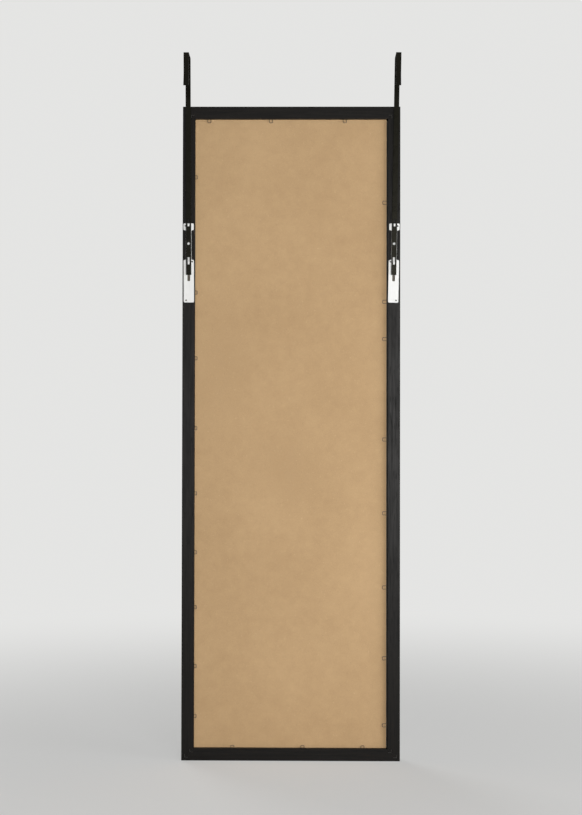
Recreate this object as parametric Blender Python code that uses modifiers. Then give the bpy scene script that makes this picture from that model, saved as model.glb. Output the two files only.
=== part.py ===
"""Over-the-door mirror: a mitred frame, its glass and its stapled back panel, hung on a door by two straps.

The mirror's back, which lies against the door, faces -Y, and its glass faces +Y.
Left and right are as seen from the back.
The origin is midway between the hooks, on the door's top edge and on the straps' door-side face.
"""

import math

import bmesh
import bpy

MM = 0.001

# Clearances
FIT_GAP = 0.3 * MM
GLASS_EDGE_GAP = 1.0 * MM

# Frame
FRAME_WIDTH = 400 * MM
FRAME_HEIGHT = 1200 * MM
FRAME_DEPTH = 20 * MM
BACK_FACE_WIDTH = 22.5 * MM
LIP_OVERLAP = 6 * MM
FRONT_CHAMFER = 0.8 * MM

# Glass, silvering and back panel
GLASS_THICKNESS = 4 * MM
GLASS_CHAMFER = 0.3 * MM
SILVERING_THICKNESS = 0.3 * MM
PANEL_THICKNESS = 3 * MM
PANEL_RECESS = 6 * MM
PANEL_SIDE_PLAY = 2.4 * MM

# Staples: each stands in the frame's inner wall and lies over the panel
STAPLE_WIRE = 1.0 * MM
STAPLE_CROWN = 7 * MM
STAPLE_LEG = 14 * MM
STAPLE_BEND = 1.2 * MM
STAPLE_REACH = {"left": 5 * MM, "right": 10 * MM, "top": 7 * MM, "bottom": 5 * MM}
STAPLE_SHARES = {
    "left": (0.108, 0.285, 0.386, 0.493, 0.593, 0.683, 0.767, 0.857, 0.933),
    "right": (0.147, 0.299, 0.356, 0.510, 0.623, 0.736, 0.844, 0.946),
    "top": (0.121, 0.405, 0.745),
    "bottom": (0.234, 0.555, 0.830),
}

# Corner nails: bent strips driven across each mitre from the back
NAIL_WING = 5.5 * MM
NAIL_THICKNESS = 0.5 * MM
NAIL_DEPTH = 10 * MM
NAIL_OUTER_INSET = 6 * MM
NAIL_INNER_MARGIN = 1.5 * MM

# Hanger plates, and how each is turned about +Y as it is fastened
PLATE_THICKNESS = 1.5 * MM
PLATE_DROP = 215.4 * MM
PLATE_MARGIN = 1.75 * MM
PLATE_CORNER = 2 * MM
HANGER_LEAN = {"left": math.radians(-0.34), "right": math.radians(0.93)}
HEAD_HEIGHT = 12.5 * MM
NECK_WIDTH = 10 * MM
NECK_HEIGHT = 54.7 * MM
BODY_HEIGHT = 78.3 * MM
WINDOW_WIDTH = 5 * MM
WINDOW_HEIGHT = 33 * MM
WINDOW_STEP = 0.5 * MM
WINDOW_CORNER = 1 * MM
POCKET_MARGIN = 0.8 * MM
POCKET_DEPTH = 0.8 * MM

# Tabs of a hanger plate, bent out and down over the strap
TAB_WIDTH = 3 * MM
TAB_FINGER = 3.1 * MM
TAB_PITCH = 70 * MM
TAB_EDGE = 1.15 * MM
UNHOOK_SLACK = 5.4 * MM

# Plate pins
PIN_HEAD = 2.8 * MM
PIN_HEAD_HEIGHT = 0.8 * MM
PIN_SHANK = 1.6 * MM
PIN_LENGTH = 12 * MM
PIN_POINT = 2 * MM
PIN_SIDE_INSET = {"upper": 3.7 * MM, "middle": 3.2 * MM, "lower": 4.4 * MM}
PIN_END_INSET = {"upper": 4.6 * MM, "middle": 3.3 * MM, "lower": 4.1 * MM}
PIN_SIDES = 16

# Hook straps
STRAP_WIDTH = 9.5 * MM
STRAP_THICKNESS = 1.5 * MM
STRAP_BEND = 2 * MM
STRAP_TAIL = 22 * MM
SLOT_SIDE_PLAY = 0.4 * MM
SLOT_CORNER = 0.4 * MM
ROUND_HOLE = 4.8 * MM
ROUND_HOLE_DROP = 1.3 * MM
DOOR_GAP = 42 * MM
HOOK_RISE = 88 * MM
HOOK_LIP = 40 * MM
TIP_DROP = 21 * MM
TIP_FLARE = 8 * MM

# Facets, and how far a cutter runs past the face it cuts
ARC_STEPS = 5
HOLE_SIDES = 24
WIRE_FACETS = 1
SMOOTH_UP_TO = math.radians(50)
WELD_DISTANCE = 0.001 * MM
CUT_PAST = 1 * MM

# Depth of each face, from the straps' door side at 0 to the front of the frame
PLATE_REAR = STRAP_THICKNESS + FIT_GAP
PLATE_FRONT = PLATE_REAR + PLATE_THICKNESS
FRAME_REAR = PLATE_FRONT + FIT_GAP
FRAME_FRONT = FRAME_REAR + FRAME_DEPTH
PANEL_REAR = FRAME_REAR + PANEL_RECESS
PANEL_FRONT = PANEL_REAR + PANEL_THICKNESS
SILVERING_REAR = PANEL_FRONT + FIT_GAP
SILVERING_FRONT = SILVERING_REAR + SILVERING_THICKNESS
GLASS_REAR = SILVERING_FRONT + FIT_GAP
GLASS_FRONT = GLASS_REAR + GLASS_THICKNESS
LIP_REAR = GLASS_FRONT + FIT_GAP
STAPLE_DEPTH = PANEL_REAR - FIT_GAP - STAPLE_WIRE / 2

# Heights, from the door's top edge at 0
FRAME_TOP = -HOOK_RISE
FRAME_BOTTOM = FRAME_TOP - FRAME_HEIGHT
FRAME_MIDDLE = (FRAME_TOP + FRAME_BOTTOM) / 2

# Heights on a hanger plate and its strap, from the middle between the two tabs at 0
TAB_TOPS = {"upper": TAB_PITCH / 2, "lower": -TAB_PITCH / 2}
HEAD_TOP = TAB_TOPS["upper"] + TAB_EDGE
NECK_TOP = HEAD_TOP - HEAD_HEIGHT
BODY_TOP = NECK_TOP - NECK_HEIGHT
BODY_BOTTOM = BODY_TOP - BODY_HEIGHT
HANGER_HEIGHT = FRAME_TOP - PLATE_DROP - HEAD_TOP

# Widths that follow
RAIL_WIDTH = BACK_FACE_WIDTH + LIP_OVERLAP
PLATE_WIDTH = BACK_FACE_WIDTH - 2 * PLATE_MARGIN
SLOT_WIDTH = TAB_WIDTH + 2 * SLOT_SIDE_PLAY
LIFT_TRAVEL = TAB_FINGER + UNHOOK_SLACK
SLOT_HEIGHT = PLATE_THICKNESS + LIFT_TRAVEL + 2 * FIT_GAP
HANGER_X = FRAME_WIDTH / 2 - BACK_FACE_WIDTH / 2
SIDES = {"left": -1, "right": 1}

# Turn about Y that carries a piece made for the left edge to each edge
EDGE_TURN = {"left": 0.0, "right": math.pi, "top": math.pi / 2, "bottom": -math.pi / 2}
# Turn that stands an outline drawn in XY up in XZ, its thickness along Y
FACING_DOOR = (math.pi / 2, 0.0, 0.0)
# Turn that stands an outline drawn in XY up in YZ, its thickness along X
SEEN_FROM_SIDE = (math.pi / 2, 0.0, math.pi / 2)


def clear_scene():
    for old in list(bpy.data.objects):
        bpy.data.objects.remove(old, do_unlink=True)


def make_collection(name, parent):
    made = bpy.data.collections.new(name)
    parent.children.link(made)
    return made


def make_material(name, colour, roughness, metallic):
    made = bpy.data.materials.new(name)
    made.use_nodes = True
    surface = made.node_tree.nodes["Principled BSDF"]
    surface.inputs["Base Color"].default_value = (*colour, 1.0)
    surface.inputs["Roughness"].default_value = roughness
    surface.inputs["Metallic"].default_value = metallic
    return made


def add_object(name, mesh, collection, location=(0, 0, 0), rotation=(0, 0, 0)):
    made = bpy.data.objects.new(name, mesh)
    made.location = location
    made.rotation_euler = rotation
    collection.objects.link(made)
    return made


def add_empty(name, parent, location=(0, 0, 0), rotation=(0, 0, 0)):
    made = add_object(name, None, PARTS, location, rotation)
    made.parent = parent
    return made


def add_part(name, mesh, material, parent, location=(0, 0, 0), rotation=(0, 0, 0)):
    """A piece of the object, with its own material, carried by the given empty."""
    mesh.materials.append(material)
    made = add_object(name, mesh, PARTS, location, rotation)
    made.parent = parent
    return made


def add_cutter(name, mesh, collection, parent, location=(0, 0, 0), rotation=(0, 0, 0)):
    made = add_object(name, mesh, collection, location, rotation)
    made.parent = parent
    made.hide_render = True
    made.display_type = "WIRE"
    return made


def cut(target, cutters):
    """Takes every cutter of the collection out of the target."""
    modifier = target.modifiers.new("cut " + cutters.name, "BOOLEAN")
    modifier.operation = "DIFFERENCE"
    modifier.solver = "EXACT"
    modifier.operand_type = "COLLECTION"
    modifier.collection = cutters


def join(target, other):
    modifier = target.modifiers.new("join " + other.name, "BOOLEAN")
    modifier.operation = "UNION"
    modifier.solver = "EXACT"
    modifier.object = other


def mesh_from_curve(curve):
    """The curve as a closed mesh, its caps welded to its sides."""
    holder = bpy.data.objects.new(curve.name, curve)
    bpy.context.scene.collection.objects.link(holder)
    seen = holder.evaluated_get(bpy.context.evaluated_depsgraph_get())
    mesh = bpy.data.meshes.new_from_object(seen)
    bpy.data.objects.remove(holder, do_unlink=True)
    weld = bmesh.new()
    weld.from_mesh(mesh)
    bmesh.ops.remove_doubles(weld, verts=weld.verts, dist=WELD_DISTANCE)
    bmesh.ops.recalc_face_normals(weld, faces=weld.faces)
    weld.to_mesh(mesh)
    weld.free()
    return mesh


def outline_mesh(name, outlines, thickness):
    """A flat plate in XY, centred on Z: the first outline is its edge, the others are holes in it."""
    curve = bpy.data.curves.new(name, "CURVE")
    curve.dimensions = "2D"
    curve.fill_mode = "BOTH"
    curve.extrude = thickness / 2
    for outline in outlines:
        spline = curve.splines.new("POLY")
        spline.points.add(len(outline) - 1)
        for point, (x, y) in zip(spline.points, outline):
            point.co = (x, y, 0, 1)
        spline.use_cyclic_u = True
    return mesh_from_curve(curve)


def box_mesh(name, size):
    mesh = bpy.data.meshes.new(name)
    made = bmesh.new()
    bmesh.ops.create_cube(made, size=1)
    bmesh.ops.scale(made, vec=size, verts=made.verts)
    made.to_mesh(mesh)
    made.free()
    return mesh


def corner_arc(before, corner, after, radius):
    """Points that round one corner of a path."""
    one = math.atan2(before[1] - corner[1], before[0] - corner[0])
    two = math.atan2(after[1] - corner[1], after[0] - corner[0])
    half = math.remainder(two - one, math.tau) / 2
    middle = one + half
    centre_off = radius / math.sin(abs(half))
    centre = (corner[0] + centre_off * math.cos(middle), corner[1] + centre_off * math.sin(middle))
    sweep = math.pi / 2 - abs(half)
    turn = -math.copysign(1, half)
    points = []
    for step in range(ARC_STEPS + 1):
        angle = middle + math.pi + turn * sweep * (2 * step / ARC_STEPS - 1)
        points.append((centre[0] + radius * math.cos(angle), centre[1] + radius * math.sin(angle)))
    return points


def rounded(corners, radius):
    """A closed outline with every corner rounded."""
    count = len(corners)
    points = []
    for index, corner in enumerate(corners):
        points += corner_arc(corners[index - 1], corner, corners[(index + 1) % count], radius)
    return points


def rounded_path(corners, radius):
    """An open path with its inner corners rounded."""
    points = [corners[0]]
    for before, corner, after in zip(corners, corners[1:], corners[2:]):
        points += corner_arc(before, corner, after, radius)
    return points + [corners[-1]]


def rectangle(width, low, high):
    return [(-width / 2, low), (width / 2, low), (width / 2, high), (-width / 2, high)]


def circle(radius, height):
    turns = [math.tau * side / HOLE_SIDES for side in range(HOLE_SIDES)]
    return [(radius * math.cos(turn), height + radius * math.sin(turn)) for turn in turns]


def turned_mesh(name, profile):
    """An open profile of (radius, height) points, to be turned about Z."""
    mesh = bpy.data.meshes.new(name)
    edges = [(index, index + 1) for index in range(len(profile) - 1)]
    mesh.from_pydata([(radius, 0, height) for radius, height in profile], edges, [])
    return mesh


def turn_profile(made):
    modifier = made.modifiers.new("turn", "SCREW")
    modifier.axis = "Z"
    modifier.angle = math.tau
    modifier.steps = PIN_SIDES
    modifier.render_steps = PIN_SIDES
    modifier.use_merge_vertices = True
    modifier.merge_threshold = WELD_DISTANCE
    modifier.use_smooth_shade = True


def chamfer(made, width):
    modifier = made.modifiers.new("chamfer", "BEVEL")
    modifier.width = width
    modifier.segments = 1
    modifier.limit_method = "ANGLE"


def edge_origin(edge):
    """The middle of the frame's outer edge on one side, and that side's length."""
    return {
        "left": ((-FRAME_WIDTH / 2, 0, FRAME_MIDDLE), FRAME_HEIGHT),
        "right": ((FRAME_WIDTH / 2, 0, FRAME_MIDDLE), FRAME_HEIGHT),
        "top": ((0, 0, FRAME_TOP), FRAME_WIDTH),
        "bottom": ((0, 0, FRAME_BOTTOM), FRAME_WIDTH),
    }[edge]


def rail_mesh(name, length):
    """A length of rebated moulding along Z, from its outer edge at X 0 inward, its ends mitred."""
    profile = [
        (0, FRAME_REAR),
        (BACK_FACE_WIDTH, FRAME_REAR),
        (BACK_FACE_WIDTH, LIP_REAR),
        (RAIL_WIDTH, LIP_REAR),
        (RAIL_WIDTH, FRAME_FRONT - FRONT_CHAMFER),
        (RAIL_WIDTH - FRONT_CHAMFER, FRAME_FRONT),
        (FRONT_CHAMFER, FRAME_FRONT),
        (0, FRAME_FRONT - FRONT_CHAMFER),
    ]
    mesh = outline_mesh(name, [profile], length)
    mitre_gap = FIT_GAP / math.sqrt(2)
    for vertex in mesh.vertices:
        vertex.co.z -= math.copysign(vertex.co.x + mitre_gap, vertex.co.z)
    return mesh


def add_rail(name, edge):
    location, length = edge_origin(edge)
    rail = add_part(name, rail_mesh(name, length), PAINT, ROOT, location, (0, EDGE_TURN[edge], 0))
    rail_cutters = make_collection(name + " cuts", CUTTERS)
    cut(rail, rail_cutters)
    return rail_cutters


def sheet(name, rear, front, material, left_gap, right_gap, end_gap):
    """A flat sheet that lies in the frame's rebate."""
    width = FRAME_WIDTH - 2 * BACK_FACE_WIDTH - left_gap - right_gap
    height = FRAME_HEIGHT - 2 * BACK_FACE_WIDTH - 2 * end_gap
    mesh = box_mesh(name, (width, front - rear, height))
    location = ((left_gap - right_gap) / 2, (rear + front) / 2, FRAME_MIDDLE)
    return add_part(name, mesh, material, ROOT, location)


def staple_mesh(name, reach, bite, wire):
    """A staple in XY: its legs run to -X from the wall at X 0, and its crown stands at +X."""
    half = (STAPLE_CROWN - STAPLE_WIRE) / 2
    crown = reach - STAPLE_WIRE / 2
    path = rounded_path([(-bite, -half), (crown, -half), (crown, half), (-bite, half)], STAPLE_BEND)
    curve = bpy.data.curves.new(name, "CURVE")
    curve.dimensions = "3D"
    curve.bevel_depth = wire / 2
    curve.bevel_resolution = WIRE_FACETS
    curve.use_fill_caps = True
    spline = curve.splines.new("POLY")
    spline.points.add(len(path) - 1)
    for point, (x, z) in zip(spline.points, path):
        point.co = (x, 0, z, 1)
    mesh = mesh_from_curve(curve)
    mesh.shade_smooth()
    mesh.set_sharp_from_angle(angle=SMOOTH_UP_TO)
    return mesh


def add_staples(edge, rail_cutters):
    """Shares count from the top of a stile, and from the left end of a rail."""
    origin, length = edge_origin(edge)
    reach = STAPLE_REACH[edge]
    bite = STAPLE_LEG - reach
    along = {"left": (0, -1), "right": (0, -1), "top": (1, 0), "bottom": (1, 0)}[edge]
    turn = EDGE_TURN[edge]
    inward = (math.cos(turn), -math.sin(turn))
    for number, share in enumerate(STAPLE_SHARES[edge], 1):
        name = f"staple_{edge}_{number}"
        offset = (share - 0.5) * length
        location = (
            origin[0] + inward[0] * BACK_FACE_WIDTH + along[0] * offset,
            STAPLE_DEPTH,
            origin[2] + inward[1] * BACK_FACE_WIDTH + along[1] * offset,
        )
        staple = staple_mesh(name, reach, bite, STAPLE_WIRE)
        add_part(name, staple, STEEL, ROOT, location, (0, turn, 0))
        hole = staple_mesh(name + " hole", reach, bite + FIT_GAP, STAPLE_WIRE + 2 * FIT_GAP)
        add_cutter(name + " hole", hole, rail_cutters, ROOT, location, (0, turn, 0))


def nail_outline(side, rise, wing, thickness, grown):
    """An L that opens towards the frame's middle, its heel grown outward by the clearance."""
    lower = [(0, 0), (wing, 0), (wing, thickness)]
    upper = [(thickness, thickness), (thickness, wing), (0, wing)]
    return [(-side * (across - grown), rise * (grown - along)) for across, along in lower + upper]


def add_corner_nails(cutters_of):
    insets = {"outer": NAIL_OUTER_INSET, "inner": BACK_FACE_WIDTH - NAIL_WING - NAIL_INNER_MARGIN}
    middle = FRAME_REAR + NAIL_DEPTH / 2
    for level, rise in (("top", 1), ("bottom", -1)):
        for hand, side in SIDES.items():
            for place, inset in insets.items():
                name = f"corner_nail_{level}_{hand}_{place}"
                edge = FRAME_TOP if rise > 0 else FRAME_BOTTOM
                location = (side * (FRAME_WIDTH / 2 - inset), middle, edge - rise * inset)
                outline = nail_outline(side, rise, NAIL_WING, NAIL_THICKNESS, 0)
                nail = outline_mesh(name, [outline], NAIL_DEPTH)
                add_part(name, nail, STEEL, ROOT, location, FACING_DOOR)
                room = nail_outline(
                    side, rise, NAIL_WING + 2 * FIT_GAP, NAIL_THICKNESS + 2 * FIT_GAP, FIT_GAP
                )
                for rail in (level, hand):
                    hole = outline_mesh(f"{name} {rail}", [room], NAIL_DEPTH + 2 * FIT_GAP)
                    add_cutter(f"{name} {rail}", hole, cutters_of[rail], ROOT, location, FACING_DOOR)


def plate_outline():
    half = PLATE_WIDTH / 2
    neck = NECK_WIDTH / 2
    right = [(half, HEAD_TOP), (half, NECK_TOP), (neck, NECK_TOP), (neck, BODY_TOP), (half, BODY_TOP)]
    right.append((half, BODY_BOTTOM))
    left = [(-x, z) for x, z in reversed(right)]
    return rounded(right + left, PLATE_CORNER)


def window_outline(margin):
    top = TAB_TOPS["lower"] - PLATE_THICKNESS - WINDOW_STEP
    corners = rectangle(WINDOW_WIDTH + 2 * margin, top - WINDOW_HEIGHT - margin, top + margin)
    return rounded(corners, WINDOW_CORNER)


def tab_mesh(name, top):
    """A tongue that leaves the plate towards the door and turns down over the strap, drawn in (Y, Z)."""
    finger_front = -FIT_GAP
    finger_rear = finger_front - PLATE_THICKNESS
    root = PLATE_REAR + PLATE_THICKNESS / 2
    bottom = top - PLATE_THICKNESS
    corners = [(root, top)]
    corners += corner_arc((root, top), (finger_rear, top), (finger_rear, bottom), PLATE_THICKNESS / 2)
    corners += [(finger_rear, bottom - TAB_FINGER), (finger_front, bottom - TAB_FINGER)]
    corners += [(finger_front, bottom), (root, bottom)]
    return outline_mesh(name, [corners], TAB_WIDTH)


def pin_profile(gap, rise):
    head = PIN_HEAD / 2 + gap
    shank = PIN_SHANK / 2 + gap
    flush = [(0, rise), (head, rise), (head, 0)] if rise else [(0, 0), (head, 0)]
    rest = [
        (shank, -PIN_HEAD_HEIGHT),
        (shank, PIN_POINT - PIN_LENGTH),
        (0, -PIN_LENGTH - gap),
    ]
    return flush + rest


def add_hanger_plate(hand, hanger, stile_cutters):
    side = SIDES[hand]
    name = f"{hand}_hanger_plate"
    middle = (PLATE_REAR + PLATE_FRONT) / 2
    mesh = outline_mesh(name, [plate_outline(), window_outline(0)], PLATE_THICKNESS)
    plate = add_part(name, mesh, WHITE, hanger, (0, middle, 0), FACING_DOOR)
    for place, top in TAB_TOPS.items():
        tab = tab_mesh(f"{hand} {place} tab", top)
        join(plate, add_cutter(tab.name, tab, CUTTERS, hanger, (0, 0, 0), SEEN_FROM_SIDE))
    pocket = outline_mesh(name + " pocket", [window_outline(POCKET_MARGIN)], 2 * POCKET_DEPTH)
    add_cutter(name + " pocket", pocket, stile_cutters, hanger, (0, FRAME_REAR, 0), FACING_DOOR)
    plate_cutters = make_collection(name + " cuts", CUTTERS)
    cut(plate, plate_cutters)
    heights = {
        "upper": HEAD_TOP - PIN_END_INSET["upper"],
        "middle": BODY_TOP - PIN_END_INSET["middle"],
        "lower": BODY_BOTTOM + PIN_END_INSET["lower"],
    }
    outward = {"upper": side, "middle": -side, "lower": side}
    for place, height in heights.items():
        pin_name = f"{hand}_plate_pin_{place}"
        across = outward[place] * (PLATE_WIDTH / 2 - PIN_SIDE_INSET[place])
        location = (across, PLATE_REAR, height)
        pin = turned_mesh(pin_name, pin_profile(0, 0))
        turn_profile(add_part(pin_name, pin, BLACK_STEEL, hanger, location, FACING_DOOR))
        for cutters in (plate_cutters, stile_cutters):
            hole_name = f"{pin_name} {cutters.name}"
            hole = turned_mesh(hole_name, pin_profile(FIT_GAP, CUT_PAST))
            turn_profile(add_cutter(hole_name, hole, cutters, hanger, location, FACING_DOOR))


def strap_mesh(name):
    """The strap's door-side face, as a strip along its bent path, in the hanger's frame."""
    tail_end = TAB_TOPS["lower"] - PLATE_THICKNESS - FIT_GAP - STRAP_TAIL
    door_top = -HANGER_HEIGHT
    corners = [
        (0, tail_end),
        (0, door_top),
        (-DOOR_GAP, door_top),
        (-DOOR_GAP, door_top - HOOK_LIP),
        (-DOOR_GAP - TIP_FLARE, door_top - HOOK_LIP - TIP_DROP),
    ]
    path = rounded_path(corners, STRAP_BEND)
    strip = bmesh.new()
    points = [strip.verts.new((-STRAP_WIDTH / 2, y, z)) for y, z in path]
    edges = [strip.edges.new(pair) for pair in zip(points, points[1:])]
    grown = bmesh.ops.extrude_edge_only(strip, edges=edges)["geom"]
    far = [item for item in grown if isinstance(item, bmesh.types.BMVert)]
    bmesh.ops.translate(strip, vec=(STRAP_WIDTH, 0, 0), verts=far)
    bmesh.ops.recalc_face_normals(strip, faces=strip.faces)
    mesh = bpy.data.meshes.new(name)
    strip.to_mesh(mesh)
    strip.free()
    return mesh


def add_hook_strap(hand, hanger):
    """The strap's empty stands between the tabs, on the line along which the strap lifts."""
    name = f"{hand}_hook_strap"
    slide = add_empty(f"{hand}_hook_slide", hanger)
    strap = add_part(name, strap_mesh(name), BLACK_STEEL_PAINT, slide)
    wall = strap.modifiers.new("wall away from the door", "SOLIDIFY")
    wall.thickness = STRAP_THICKNESS
    wall.offset = 1
    wall.use_even_offset = True
    strap_cutters = make_collection(name + " cuts", CUTTERS)
    openings = {"round hole": circle(ROUND_HOLE / 2, -ROUND_HOLE_DROP)}
    for place, top in TAB_TOPS.items():
        low = top - PLATE_THICKNESS - FIT_GAP
        openings[place + " slot"] = rounded(rectangle(SLOT_WIDTH, low, low + SLOT_HEIGHT), SLOT_CORNER)
    for place, outline in openings.items():
        hole = outline_mesh(f"{hand} {place}", [outline], 2 * STRAP_THICKNESS + 2 * CUT_PAST)
        add_cutter(f"{hand} {place}", hole, strap_cutters, slide, (0, 0, 0), FACING_DOOR)
    cut(strap, strap_cutters)


clear_scene()
PARTS = make_collection("over_the_door_mirror", bpy.context.scene.collection)
CUTTERS = make_collection("cutters", bpy.context.scene.collection)
ROOT = add_empty("door_hang", None)

PAINT = make_material("black_frame_paint", (0.022, 0.021, 0.022), 0.5, 0.0)
CLEAR = make_material("mirror_glass", (0.85, 0.92, 0.9), 0.02, 0.0)
SILVER = make_material("silvering", (0.9, 0.91, 0.92), 0.03, 1.0)
BOARD = make_material("brown_board", (0.47, 0.32, 0.17), 0.8, 0.0)
STEEL = make_material("bright_steel", (0.6, 0.58, 0.54), 0.35, 1.0)
WHITE = make_material("white_plate_paint", (0.85, 0.85, 0.84), 0.4, 0.0)
BLACK_STEEL = make_material("black_pin", (0.03, 0.03, 0.03), 0.4, 1.0)
BLACK_STEEL_PAINT = make_material("black_strap_paint", (0.025, 0.025, 0.024), 0.4, 0.0)

RAILS = {
    "left": "frame_left_stile",
    "right": "frame_right_stile",
    "top": "frame_top_rail",
    "bottom": "frame_bottom_rail",
}
RAIL_CUTTERS = {edge: add_rail(name, edge) for edge, name in RAILS.items()}
for edge, cutters in RAIL_CUTTERS.items():
    add_staples(edge, cutters)
add_corner_nails(RAIL_CUTTERS)

glass_gaps = (GLASS_EDGE_GAP, GLASS_EDGE_GAP, GLASS_EDGE_GAP)
panel_gaps = (FIT_GAP, PANEL_SIDE_PLAY, FIT_GAP)
glass = sheet("mirror_glass", GLASS_REAR, GLASS_FRONT, CLEAR, *glass_gaps)
chamfer(glass, GLASS_CHAMFER)
sheet("mirror_silvering", SILVERING_REAR, SILVERING_FRONT, SILVER, *glass_gaps)
sheet("back_panel", PANEL_REAR, PANEL_FRONT, BOARD, *panel_gaps)

for hand, side in SIDES.items():
    place = (side * HANGER_X, 0, HANGER_HEIGHT)
    hanger = add_empty(f"{hand}_hanger", ROOT, place, (0, HANGER_LEAN[hand], 0))
    add_hanger_plate(hand, hanger, RAIL_CUTTERS[hand])
    add_hook_strap(hand, hanger)
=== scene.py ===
import math
import random

import bmesh
import bpy
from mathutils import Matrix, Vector


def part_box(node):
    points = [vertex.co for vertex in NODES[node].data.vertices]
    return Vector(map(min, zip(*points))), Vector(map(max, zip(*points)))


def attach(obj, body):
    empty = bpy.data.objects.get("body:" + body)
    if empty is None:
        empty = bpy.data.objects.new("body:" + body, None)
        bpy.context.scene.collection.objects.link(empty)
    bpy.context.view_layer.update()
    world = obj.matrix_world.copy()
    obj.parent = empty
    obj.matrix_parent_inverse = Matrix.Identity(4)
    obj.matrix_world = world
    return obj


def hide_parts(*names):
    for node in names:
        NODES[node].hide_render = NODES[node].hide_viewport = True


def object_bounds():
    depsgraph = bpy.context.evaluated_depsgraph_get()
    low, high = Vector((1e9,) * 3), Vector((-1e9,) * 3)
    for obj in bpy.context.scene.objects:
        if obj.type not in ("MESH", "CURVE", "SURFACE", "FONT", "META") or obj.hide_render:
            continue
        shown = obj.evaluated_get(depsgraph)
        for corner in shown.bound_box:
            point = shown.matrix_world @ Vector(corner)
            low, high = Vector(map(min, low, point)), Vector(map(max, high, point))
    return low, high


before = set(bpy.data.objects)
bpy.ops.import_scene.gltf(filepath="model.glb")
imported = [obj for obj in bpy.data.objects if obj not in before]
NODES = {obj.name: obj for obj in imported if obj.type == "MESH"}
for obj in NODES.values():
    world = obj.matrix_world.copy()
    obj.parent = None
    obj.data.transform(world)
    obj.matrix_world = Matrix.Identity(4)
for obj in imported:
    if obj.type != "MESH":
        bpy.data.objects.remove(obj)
cad_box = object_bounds()
MM = 0.001

# Camera, from the photograph's frame corners and hooks
CAMERA_PLACE = (0.0269, -2.7443, -0.6786)
CAMERA_TURN = (90.772, -0.104, 0.562)
CAMERA_LENS = 66.16
CAMERA_SENSOR = 36

# Studio: a pale floor that fades into a pale world, and lamps that face the mirror's middle
PALE = (0.78, 0.78, 0.77)
FLOOR_HEIGHT = cad_box[0][2]
FLOOR_RADIUS = 9.0
FLOOR_SEGMENTS = 96
FLOOR_GLOW = 0.5
FADE_START = 0.3
FADE_END = 2.3
WORLD_STRENGTH = 0.10
MIDDLE = (0, 0, -0.69)
LAMPS = {
    "key": {"place": (0.50, -2.70, -0.66), "watts": 37, "size": (1.2, 0.7), "mirrored": True},
    "side": {"place": (2.53, -1.21, -0.96), "watts": 53, "size": (1.6, 0.6), "mirrored": True},
    "front": {"place": (-2.6, 4.6, 0.4), "watts": 150, "size": (2.5, 2.5), "mirrored": False},
}

# Nodes of the CAD, by what they are made of
STILES = ("frame_left_stile", "frame_right_stile")
RAILS = ("frame_top_rail", "frame_bottom_rail")
STRAPS = ("left_hook_strap", "right_hook_strap")
PLATES = ("left_hanger_plate", "right_hanger_plate")
STAPLES = [name for name in NODES if name.startswith("staple_")]
NAILS = [name for name in NODES if name.startswith("corner_nail_")]
PINS = [name for name in NODES if "_plate_pin_" in name]

# Limits of the finishes, from faces of the CAD: a pocket is sunk in the frame's rear, under the plate
FRAME_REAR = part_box("frame_right_stile")[0][1]
PLATE_LOW, PLATE_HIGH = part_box("right_hanger_plate")
POCKET_SKIN = 0.05 * MM
POCKET_REACH = 1.1 * MM
GLASS_HALF_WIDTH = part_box("mirror_glass")[1][0]
DULL_MARGIN = 3 * MM
SILVER_MIDDLE = sum(corner[1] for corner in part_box("mirror_silvering")) / 2

# Slightly darker patches of the board: middle and radii
HANDLED_PATCHES = (
    ((-0.13, 0.010, -0.58), (0.09, 0.5, 0.17)),
    ((0.0, 0.010, -0.754), (0.09, 0.5, 0.12)),
)

# Bare steels: dull, bright and tarnished colour, and the least roughness
STEELS = {
    # The nail strips' near-black steel is partly paint smeared over the nails and partly painted shade and
    # painted dark reflection.
    "nail_strip_smear_and_shade": ((0.036, 0.035, 0.033), (0.090, 0.087, 0.083), (0.036, 0.025, 0.018), 0.46),
    # The staple wire's colours are far darker than its bright steel: painted shade and painted dark
    # reflection, for its shadow on the board and a dark room seen in it.
    "staple_wire_painted_shade": ((0.060, 0.048, 0.038), (0.16, 0.135, 0.11), (0.05, 0.036, 0.026), 0.32),
    "black_oxide_steel": ((0.018, 0.017, 0.016), (0.040, 0.038, 0.036), (0.014, 0.013, 0.012), 0.38),
}

# Softened edges of CAD nodes
STRAP_EDGE = 0.35 * MM
PLATE_EDGE = 0.2 * MM
PANEL_EDGE = 0.4 * MM
EDGE_SEGMENTS = 2
SHARP_FROM = math.radians(40)
WELD_DISTANCE = 0.002 * MM
FLAT_WITHIN = math.radians(1)

# Staples, made finer than their CAD nodes; lift and skew are slopes of the wire outside the frame
STAPLE_HALF = 3.0 * MM
STAPLE_BEND = 1.3 * MM
STAPLE_BEND_STEPS = 6
STAPLE_BOW = 0.12 * MM
STAPLE_REACH = {"left": 5 * MM, "right": 10 * MM, "top": 7 * MM, "bottom": 5 * MM}
STAPLE_LIFT = (0.01, 0.07)
STAPLE_SKEW = (-0.05, 0.05)
INWARD = {"left": (1, 0), "right": (-1, 0), "top": (0, -1), "bottom": (0, 1)}
WIRE_ACROSS = 0.52 * MM
WIRE_THROUGH = 0.42 * MM
WIRE_SIDES = 12

# Pins, made finer than their CAD nodes: radius and depth along a pin, in mm
PIN_SIDES = 32
PIN_PROFILE = (
    (0.30, 0.10), (0.62, 0.04), (1.05, 0.03), (1.28, 0.07), (1.39, 0.16), (1.34, 0.26),
    (0.82, 0.80), (0.80, 1.20), (0.80, 10.0), (0.30, 11.4), (0.06, 11.9),
)
SMOOTH_UP_TO = math.radians(50)

# Sockets of a mix node that hold colours, and samples of the node that finds edges
MIX_COLOURS = (6, 7)
MIX_RESULT = 2
EDGE_SAMPLES = 6


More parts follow.
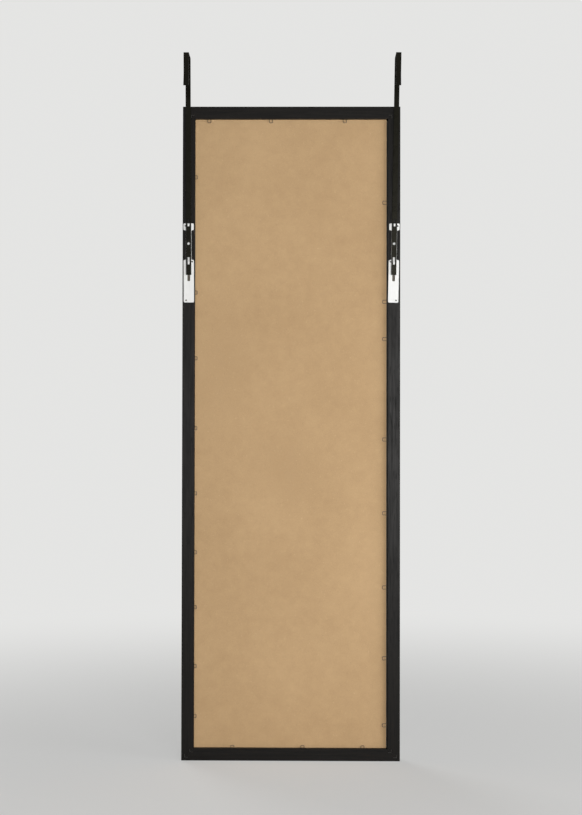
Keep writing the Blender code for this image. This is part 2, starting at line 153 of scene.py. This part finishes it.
class Finish:
    """A procedural material, with short ways to add what it is made of."""

    def __init__(self, name):
        self.material = bpy.data.materials.new(name)
        self.material.use_nodes = True
        self.tree = self.material.node_tree
        self.surface = self.tree.nodes["Principled BSDF"]
        self.place = self.add("ShaderNodeTexCoord").outputs["Object"]

    def add(self, kind, **settings):
        made = self.tree.nodes.new(kind)
        for key, value in settings.items():
            setattr(made, key, value)
        return made

    def feed(self, socket, value):
        """Links a socket to another, or sets its value."""
        if isinstance(value, bpy.types.NodeSocket):
            self.tree.links.new(value, socket)
        else:
            socket.default_value = value

    def set(self, **values):
        """Feeds the surface's sockets, named with underscores for spaces."""
        for key, value in values.items():
            self.feed(self.surface.inputs[key.replace("_", " ")], value)

    def calc(self, operation, *values):
        made = self.add("ShaderNodeMath", operation=operation)
        for socket, value in zip(made.inputs, values):
            self.feed(socket, value)
        return made.outputs[0]

    def vector(self, operation, *values):
        made = self.add("ShaderNodeVectorMath", operation=operation)
        for socket, value in zip(made.inputs, values):
            self.feed(socket, value)
        return made

    def blend(self, first, *others):
        """The sum of values times their weights, given in pairs."""
        total = self.calc("MULTIPLY", *first)
        for value, weight in others:
            total = self.calc("MULTIPLY_ADD", value, weight, total)
        return total

    def noise(self, scale, detail=2.0, stretch=None, warp=0.0):
        """A noise in the object's own space, longer along an axis whose stretch is small."""
        made = self.add("ShaderNodeTexNoise")
        place = self.vector("MULTIPLY", self.place, stretch).outputs[0] if stretch else self.place
        self.feed(made.inputs["Vector"], place)
        made.inputs["Scale"].default_value = scale
        made.inputs["Detail"].default_value = detail
        made.inputs["Distortion"].default_value = warp
        return made.outputs["Fac"]

    def step(self, value, low, high, start=0.0, end=1.0):
        """A smooth step of the value, from start at low to end at high."""
        made = self.add("ShaderNodeMapRange", interpolation_type="SMOOTHSTEP")
        for socket, given in zip(made.inputs, (value, low, high, start, end)):
            self.feed(socket, given)
        return made.outputs[0]

    def mix(self, share, first, second):
        """The first colour where the share is 0, and the second where it is 1."""
        made = self.add("ShaderNodeMix", data_type="RGBA")
        self.feed(made.inputs[0], share)
        for index, value in zip(MIX_COLOURS, (first, second)):
            self.feed(made.inputs[index], (*value, 1.0) if isinstance(value, tuple) else value)
        return made.outputs[MIX_RESULT]

    def tint(self, base, mask, strength, colour):
        """The base turned toward a colour where the mask is, by a part of the way."""
        return self.mix(self.calc("MULTIPLY", mask, strength), base, colour)

    def spot(self, centre, radii):
        """1 in the middle of an ellipsoid, and 0 from its surface outward."""
        off = self.vector("SUBTRACT", self.place, centre).outputs[0]
        scaled = self.vector("DIVIDE", off, radii).outputs[0]
        return self.step(self.vector("LENGTH", scaled).outputs["Value"], 0.0, 1.0, 1.0, 0.0)

    def axis(self, name):
        apart = self.add("ShaderNodeSeparateXYZ")
        self.feed(apart.inputs[0], self.place)
        return apart.outputs[name]

    def between(self, value, low, high):
        """1 from low to high, and 0 outside."""
        above = self.calc("GREATER_THAN", value, low)
        below = self.calc("LESS_THAN", value, high)
        return self.calc("MULTIPLY", above, below)

    def edges(self, radius, low, high):
        """1 on sharp edges, by how far a rounded normal turns from the flat one."""
        rounded = self.add("ShaderNodeBevel", samples=EDGE_SAMPLES)
        rounded.inputs["Radius"].default_value = radius
        flat = self.add("ShaderNodeNewGeometry").outputs["Normal"]
        same = self.vector("DOT_PRODUCT", rounded.outputs[0], flat).outputs["Value"]
        return self.step(same, low, high, 1.0, 0.0)

    def bump(self, height, distance):
        made = self.add("ShaderNodeBump")
        made.inputs["Distance"].default_value = distance
        self.feed(made.inputs["Height"], height)
        return made.outputs[0]


def stained_wood(name, along):
    """Black-stained wood whose open pores run along one axis, bare where a pocket is routed into it."""
    def grain(stretch):
        return tuple(stretch if axis == along else 1.0 for axis in "XYZ")

    finish = Finish(name)
    bands = finish.step(finish.noise(300, 2, grain(0.04), 0.3), 0.36, 0.66)
    pores = finish.step(finish.noise(900, 2, grain(0.05), 0.3), 0.58, 0.68)
    fibres = finish.noise(2200, 3, grain(0.025))
    drift = finish.noise(11, 3)
    black = finish.mix(bands, (0.0040, 0.0033, 0.0027), (0.0088, 0.0074, 0.0062))
    black = finish.tint(black, pores, 0.8, (0.0012, 0.0011, 0.0011))
    worn = finish.calc("MULTIPLY", finish.edges(0.7 * MM, 0.86, 0.99), finish.step(drift, 0.42, 0.62))
    black = finish.tint(black, worn, 0.45, (0.036, 0.029, 0.024))
    across = finish.calc("ABSOLUTE", finish.axis("X"))
    inside = finish.between(across, PLATE_LOW[0], PLATE_HIGH[0])
    inside = finish.calc("MULTIPLY", inside, finish.between(finish.axis("Z"), PLATE_LOW[2], PLATE_HIGH[2]))
    routed = finish.between(finish.axis("Y"), FRAME_REAR + POCKET_SKIN, FRAME_REAR + POCKET_REACH)
    inside = finish.calc("MULTIPLY", inside, routed)
    bare = finish.mix(fibres, (0.115, 0.100, 0.080), (0.195, 0.175, 0.145))
    rough = finish.calc("MULTIPLY_ADD", bands, -0.08, finish.step(drift, 0.3, 0.7, 0.40, 0.45))
    rough = finish.calc("MULTIPLY_ADD", pores, 0.20, rough)
    height = finish.blend((fibres, 0.3), (pores, -1.0), (bands, 0.35))
    finish.set(
        Base_Color=finish.mix(inside, black, bare),
        Roughness=finish.calc("MAXIMUM", rough, finish.calc("MULTIPLY", inside, 0.8)),
        Specular_IOR_Level=0.12,
        Normal=finish.bump(height, 0.05 * MM),
    )
    return finish.material


def hardboard():
    """Pressed fibre board: slow smudges, a fine felt of fibres, and scattered flecks."""
    finish = Finish("hardboard")
    smudge = finish.noise(5.0, 3)
    mottle = finish.noise(60, 3)
    upright = finish.noise(430, 3, (1.0, 1.0, 0.5), 1.8)
    level = finish.noise(430, 3, (0.5, 1.0, 1.0), 1.8)
    dust = finish.noise(2300, 2)
    felt = finish.blend((upright, 0.5), (level, 0.5))
    share = finish.blend((smudge, 0.24), (mottle, 0.14), (felt, 0.24), (dust, 0.38))
    board = finish.mix(finish.step(share, 0.22, 0.78), (0.400, 0.254, 0.125), (0.620, 0.420, 0.226))
    handled = finish.calc("ADD", *(finish.spot(centre, radii) for centre, radii in HANDLED_PATCHES))
    handled = finish.calc("MULTIPLY", handled, finish.step(mottle, 0.3, 0.7))
    board = finish.tint(board, handled, 0.13, (0.30, 0.19, 0.10))
    dark_flecks = finish.step(finish.noise(640, 1), 0.69, 0.75)
    board = finish.tint(board, dark_flecks, 0.40, (0.24, 0.14, 0.065))
    light_flecks = finish.step(finish.noise(480, 1, (1.0, 1.0, 0.6)), 0.70, 0.78)
    board = finish.tint(board, light_flecks, 0.30, (0.72, 0.53, 0.33))
    height = finish.calc("ADD", felt, finish.calc("MULTIPLY", dust, 0.4))
    finish.set(
        Base_Color=board,
        Roughness=finish.step(felt, 0.3, 0.7, 0.72, 0.86),
        Specular_IOR_Level=0.3,
        Normal=finish.bump(height, 0.05 * MM),
    )
    return finish.material


def powder_coat():
    """Satin black coat on flat steel, with a fine orange peel, rubbed on its edges."""
    finish = Finish("black_powder_coat")
    peel = finish.noise(1100, 2)
    drift = finish.noise(60, 3)
    black = finish.mix(drift, (0.0024, 0.0022, 0.0012), (0.0046, 0.0042, 0.0026))
    rubbed = finish.calc("MULTIPLY", finish.edges(0.5 * MM, 0.80, 0.98), finish.step(drift, 0.45, 0.65))
    black = finish.tint(black, rubbed, 0.45, (0.070, 0.068, 0.062))
    scuffs = finish.step(finish.noise(700, 2, (1.0, 1.0, 0.05), 0.3), 0.66, 0.74)
    black = finish.tint(black, scuffs, 0.30, (0.030, 0.030, 0.028))
    finish.set(
        Base_Color=black,
        Roughness=finish.step(drift, 0.3, 0.7, 0.24, 0.34),
        Specular_IOR_Level=0.12,
        Specular_Tint=(1.0, 0.96, 0.78, 1.0),
        Normal=finish.bump(peel, 0.03 * MM),
    )
    return finish.material


def plate_paint():
    """White stove enamel on stamped steel, scuffed where the straps slide."""
    finish = Finish("white_plate_enamel")
    cloud = finish.noise(120, 3)
    peel = finish.noise(1400, 2)
    white = finish.mix(cloud, (0.83, 0.83, 0.81), (0.88, 0.88, 0.865))
    scuffs = finish.step(finish.noise(900, 2, (1.0, 1.0, 0.06), 0.4), 0.62, 0.74)
    white = finish.tint(white, scuffs, 0.22, (0.50, 0.49, 0.47))
    chipped = finish.calc("MULTIPLY", finish.edges(0.4 * MM, 0.70, 0.95), finish.step(cloud, 0.50, 0.62))
    white = finish.tint(white, chipped, 0.40, (0.42, 0.41, 0.40))
    finish.set(
        Base_Color=white,
        Roughness=finish.step(cloud, 0.3, 0.7, 0.36, 0.50),
        Specular_IOR_Level=0.35,
        Normal=finish.bump(peel, 0.02 * MM),
    )
    return finish.material


def bare_steel(name):
    """Bright or darkened steel, drawn along its length, with spots of tarnish."""
    dull, bright, tarnished, rough = STEELS[name]
    finish = Finish(name)
    drawn = finish.noise(2600, 2, (1.0, 1.0, 0.3))
    cloud = finish.noise(420, 3)
    metal = finish.mix(drawn, dull, bright)
    metal = finish.mix(finish.step(cloud, 0.56, 0.72, 0.0, 0.6), metal, tarnished)
    finish.set(
        Base_Color=metal,
        Metallic=1.0,
        Roughness=finish.step(cloud, 0.3, 0.7, rough, rough + 0.16),
        Normal=finish.bump(drawn, 0.01 * MM),
    )
    return finish.material


def float_glass():
    """Clear glass with the faintest green, and smears that hardly blur it."""
    finish = Finish("float_glass")
    smear = finish.noise(11, 3, (1.0, 1.0, 0.5), 1.5)
    finish.set(
        Base_Color=finish.mix(smear, (0.955, 0.985, 0.972), (0.970, 0.990, 0.982)),
        Roughness=finish.step(smear, 0.45, 0.75, 0.0, 0.012),
        Transmission_Weight=1.0,
        IOR=1.52,
    )
    return finish.material


def silver_coat():
    """Silvering, a little dull at its side edges, with grey backing paint on its rear."""
    finish = Finish("silver_coat")
    cloud = finish.noise(90, 3)
    across = finish.calc("ABSOLUTE", finish.axis("X"))
    near_edge = finish.step(across, GLASS_HALF_WIDTH - DULL_MARGIN, GLASS_HALF_WIDTH)
    dulled = finish.calc("MULTIPLY", near_edge, finish.step(cloud, 0.35, 0.65))
    silver = finish.mix(dulled, (0.93, 0.94, 0.94), (0.40, 0.38, 0.34))
    backing = finish.mix(cloud, (0.050, 0.048, 0.046), (0.075, 0.073, 0.070))
    rear = finish.calc("LESS_THAN", finish.axis("Y"), SILVER_MIDDLE)
    haze = finish.step(cloud, 0.3, 0.8, 0.004, 0.012)
    finish.set(
        Base_Color=finish.mix(rear, silver, backing),
        Metallic=finish.calc("SUBTRACT", 1.0, rear),
        Roughness=finish.calc("MAXIMUM", haze, finish.calc("MULTIPLY", rear, 0.7)),
    )
    return finish.material


def dress(names, material):
    """Gives CAD nodes a material, in the first slot of each."""
    for name in names:
        NODES[name].material_slots[0].material = material


def soften(names, width):
    """Rounds the sharp edges of CAD nodes a little, once their flat faces are whole."""
    for name in names:
        weld = NODES[name].modifiers.new("weld", "WELD")
        weld.merge_threshold = WELD_DISTANCE
        whole = NODES[name].modifiers.new("whole faces", "DECIMATE")
        whole.decimate_type = "DISSOLVE"
        whole.angle_limit = FLAT_WITHIN
        soft = NODES[name].modifiers.new("soft edges", "BEVEL")
        soft.width = width
        soft.use_clamp_overlap = False
        soft.loop_slide = False
        soft.segments = EDGE_SEGMENTS
        soft.limit_method = "ANGLE"
        soft.angle_limit = SHARP_FROM
        soft.harden_normals = True


def add_piece(name, rings, material, replaced):
    """A closed skin over a row of rings of points, which stands for a CAD node of the mirror."""
    made = bmesh.new()
    rows = [[made.verts.new(point) for point in ring] for ring in rings]
    for near, far in zip(rows, rows[1:]):
        for index in range(len(near)):
            following = (index + 1) % len(near)
            made.faces.new((near[index], near[following], far[following], far[index]))
    made.faces.new(rows[0])
    made.faces.new(rows[-1])
    bmesh.ops.recalc_face_normals(made, faces=made.faces)
    mesh = bpy.data.meshes.new(name)
    made.to_mesh(mesh)
    made.free()
    mesh.materials.append(material)
    mesh.shade_smooth()
    mesh.set_sharp_from_angle(angle=SMOOTH_UP_TO)
    piece = bpy.data.objects.new(name, mesh)
    bpy.context.scene.collection.objects.link(piece)
    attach(piece, "mirror")
    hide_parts(replaced)


def staple_path(leg, reach, lift, skew):
    """Points of the wire's middle: inward from the wall, along the wall, and off the panel."""
    crown = reach - WIRE_ACROSS
    foot = reach - leg
    path = [(foot, -STAPLE_HALF), (0.0, -STAPLE_HALF)]
    for side in (-1, 1):
        for step in range(STAPLE_BEND_STEPS + 1):
            turned = 90 * step / STAPLE_BEND_STEPS
            angle = math.radians(turned if side < 0 else 90 - turned)
            inward = crown - STAPLE_BEND + STAPLE_BEND * math.sin(angle)
            path.append((inward, side * (STAPLE_HALF - STAPLE_BEND + STAPLE_BEND * math.cos(angle))))
        if side < 0:
            path.append((crown + STAPLE_BOW, 0.0))
    path += [(0.0, STAPLE_HALF), (foot, STAPLE_HALF)]
    bent = []
    for inward, along in path:
        out = max(inward, 0.0)
        bent.append(Vector((inward, along + skew * out, lift * out)))
    return bent


def wire_rings(path):
    """Rings of a slightly flattened round wire along a path."""
    rings = []
    for index, point in enumerate(path):
        before = path[max(index - 1, 0)]
        after = path[min(index + 1, len(path) - 1)]
        heading = (after - before).normalized()
        across = Vector((0, 0, 1)).cross(heading).normalized()
        through = heading.cross(across)
        ring = []
        for side in range(WIRE_SIDES):
            angle = math.tau * side / WIRE_SIDES
            ring.append(
                point + across * WIRE_ACROSS * math.cos(angle) + through * WIRE_THROUGH * math.sin(angle)
            )
        rings.append(ring)
    return rings


def add_staple(node, material):
    """A staple in the place of its node, each a little differently driven."""
    chance = random.Random(node)
    edge = node.split("_")[1]
    low, high = (Vector(corner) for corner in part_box(node))
    inward = Vector((INWARD[edge][0], 0, INWARD[edge][1]))
    along = Vector((abs(inward.z), 0, abs(inward.x)))
    middle = (low + high) / 2
    leg = abs((high - low).dot(inward))
    reach = STAPLE_REACH[edge]
    wall = middle + inward * (leg / 2 - reach)
    path = staple_path(leg, reach, chance.uniform(*STAPLE_LIFT), chance.uniform(*STAPLE_SKEW))
    rings = []
    for ring in wire_rings(path):
        rings.append([wall + inward * point.x + along * point.y + Vector((0, -point.z, 0)) for point in ring])
    add_piece(node + ".wire", rings, material, node)


def add_pin(node, material):
    """A flush pin head with a small dimple, on its tapering shank."""
    low, high = (Vector(corner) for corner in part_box(node))
    head = Vector(((low.x + high.x) / 2, low.y, (low.z + high.z) / 2))
    rings = []
    for radius, depth in PIN_PROFILE:
        ring = []
        for side in range(PIN_SIDES):
            angle = math.tau * side / PIN_SIDES
            ring.append(head + Vector((radius * math.cos(angle), depth, radius * math.sin(angle))) * MM)
        rings.append(ring)
    add_piece(node + ".turned", rings, material, node)


def seen_directly(tree):
    """1 for what the camera sees, straight, mirrored or through glass, and 0 for light on the object."""
    path = tree.nodes.new("ShaderNodeLightPath")
    shown = path.outputs["Is Camera Ray"]
    for ray in ("Is Glossy Ray", "Is Transmission Ray"):
        either = tree.nodes.new("ShaderNodeMath")
        either.operation = "MAXIMUM"
        tree.links.new(shown, either.inputs[0])
        tree.links.new(path.outputs[ray], either.inputs[1])
        shown = either.outputs[0]
    return shown


def add_floor():
    """A round floor that shows its shadows near the mirror, and only the pale glow further out."""
    floor_mesh = bpy.data.meshes.new("floor")
    made = bmesh.new()
    bmesh.ops.create_circle(made, cap_ends=True, radius=FLOOR_RADIUS, segments=FLOOR_SEGMENTS)
    made.to_mesh(floor_mesh)
    made.free()
    floor = bpy.data.objects.new("floor", floor_mesh)
    floor.location.z = FLOOR_HEIGHT
    bpy.context.scene.collection.objects.link(floor)
    finish = Finish("pale_floor")
    finish.set(Base_Color=(*PALE, 1.0), Roughness=0.9, Specular_IOR_Level=0.1)
    glow = finish.add("ShaderNodeEmission")
    glow.inputs["Color"].default_value = (*PALE, 1.0)
    away = finish.vector("LENGTH", finish.place).outputs["Value"]
    share = finish.step(away, FADE_START, FADE_END, FLOOR_GLOW, 1.0)
    fade = finish.add("ShaderNodeMixShader")
    finish.feed(fade.inputs[0], finish.calc("MULTIPLY", share, seen_directly(finish.tree)))
    finish.feed(fade.inputs[1], finish.surface.outputs[0])
    finish.feed(fade.inputs[2], glow.outputs[0])
    finish.feed(finish.tree.nodes["Material Output"].inputs["Surface"], fade.outputs[0])
    floor_mesh.materials.append(finish.material)


def add_world():
    """A weak white light from all round, seen as a pale backdrop."""
    world = bpy.data.worlds.new("studio")
    world.use_nodes = True
    tree = world.node_tree
    lit = tree.nodes["Background"]
    lit.inputs["Strength"].default_value = WORLD_STRENGTH
    lit.inputs["Color"].default_value = (1.0, 1.0, 1.0, 1.0)
    seen = tree.nodes.new("ShaderNodeBackground")
    seen.inputs["Color"].default_value = (*PALE, 1.0)
    choose = tree.nodes.new("ShaderNodeMixShader")
    tree.links.new(seen_directly(tree), choose.inputs[0])
    tree.links.new(lit.outputs[0], choose.inputs[1])
    tree.links.new(seen.outputs[0], choose.inputs[2])
    tree.links.new(choose.outputs[0], tree.nodes["World Output"].inputs["Surface"])
    bpy.context.scene.world = world


def add_lamps():
    """Rectangular lamps, of which those not mirrored leave no image of themselves in the glass."""
    for name, given in LAMPS.items():
        lamp = bpy.data.lights.new(name, "AREA")
        lamp.energy = given["watts"]
        lamp.shape = "RECTANGLE"
        lamp.size, lamp.size_y = given["size"]
        light = bpy.data.objects.new(name, lamp)
        light.location = given["place"]
        aim = Vector(MIDDLE) - Vector(given["place"])
        light.rotation_euler = aim.to_track_quat("-Z", "Y").to_euler()
        light.visible_glossy = light.visible_transmission = given["mirrored"]
        bpy.context.scene.collection.objects.link(light)


def add_camera():
    camera_data = bpy.data.cameras.new("camera")
    camera_data.lens = CAMERA_LENS
    camera_data.sensor_width = CAMERA_SENSOR
    camera = bpy.data.objects.new("camera", camera_data)
    camera.location = CAMERA_PLACE
    camera.rotation_euler = [math.radians(angle) for angle in CAMERA_TURN]
    bpy.context.scene.collection.objects.link(camera)
    bpy.context.scene.camera = camera
    bpy.context.scene.view_settings.view_transform = "Standard"


add_floor()
add_world()
add_lamps()
add_camera()

dress(STILES, stained_wood("black_stained_stile", "Z"))
dress(RAILS, stained_wood("black_stained_rail", "X"))
dress(["back_panel"], hardboard())
dress(STRAPS, powder_coat())
dress(PLATES, plate_paint())
dress(["mirror_glass"], float_glass())
dress(["mirror_silvering"], silver_coat())
# Nail strips near black: partly paint smeared over them, partly painted shade and painted dark reflection.
dress(NAILS, bare_steel("nail_strip_smear_and_shade"))

# Staple wire darkened well below bright steel, as painted shade and painted dark reflection.
wire = bare_steel("staple_wire_painted_shade")
for node in STAPLES:
    add_staple(node, wire)
dark = bare_steel("black_oxide_steel")
for node in PINS:
    add_pin(node, dark)

soften(STRAPS, STRAP_EDGE)
soften(PLATES, PLATE_EDGE)
soften(["back_panel"], PANEL_EDGE)
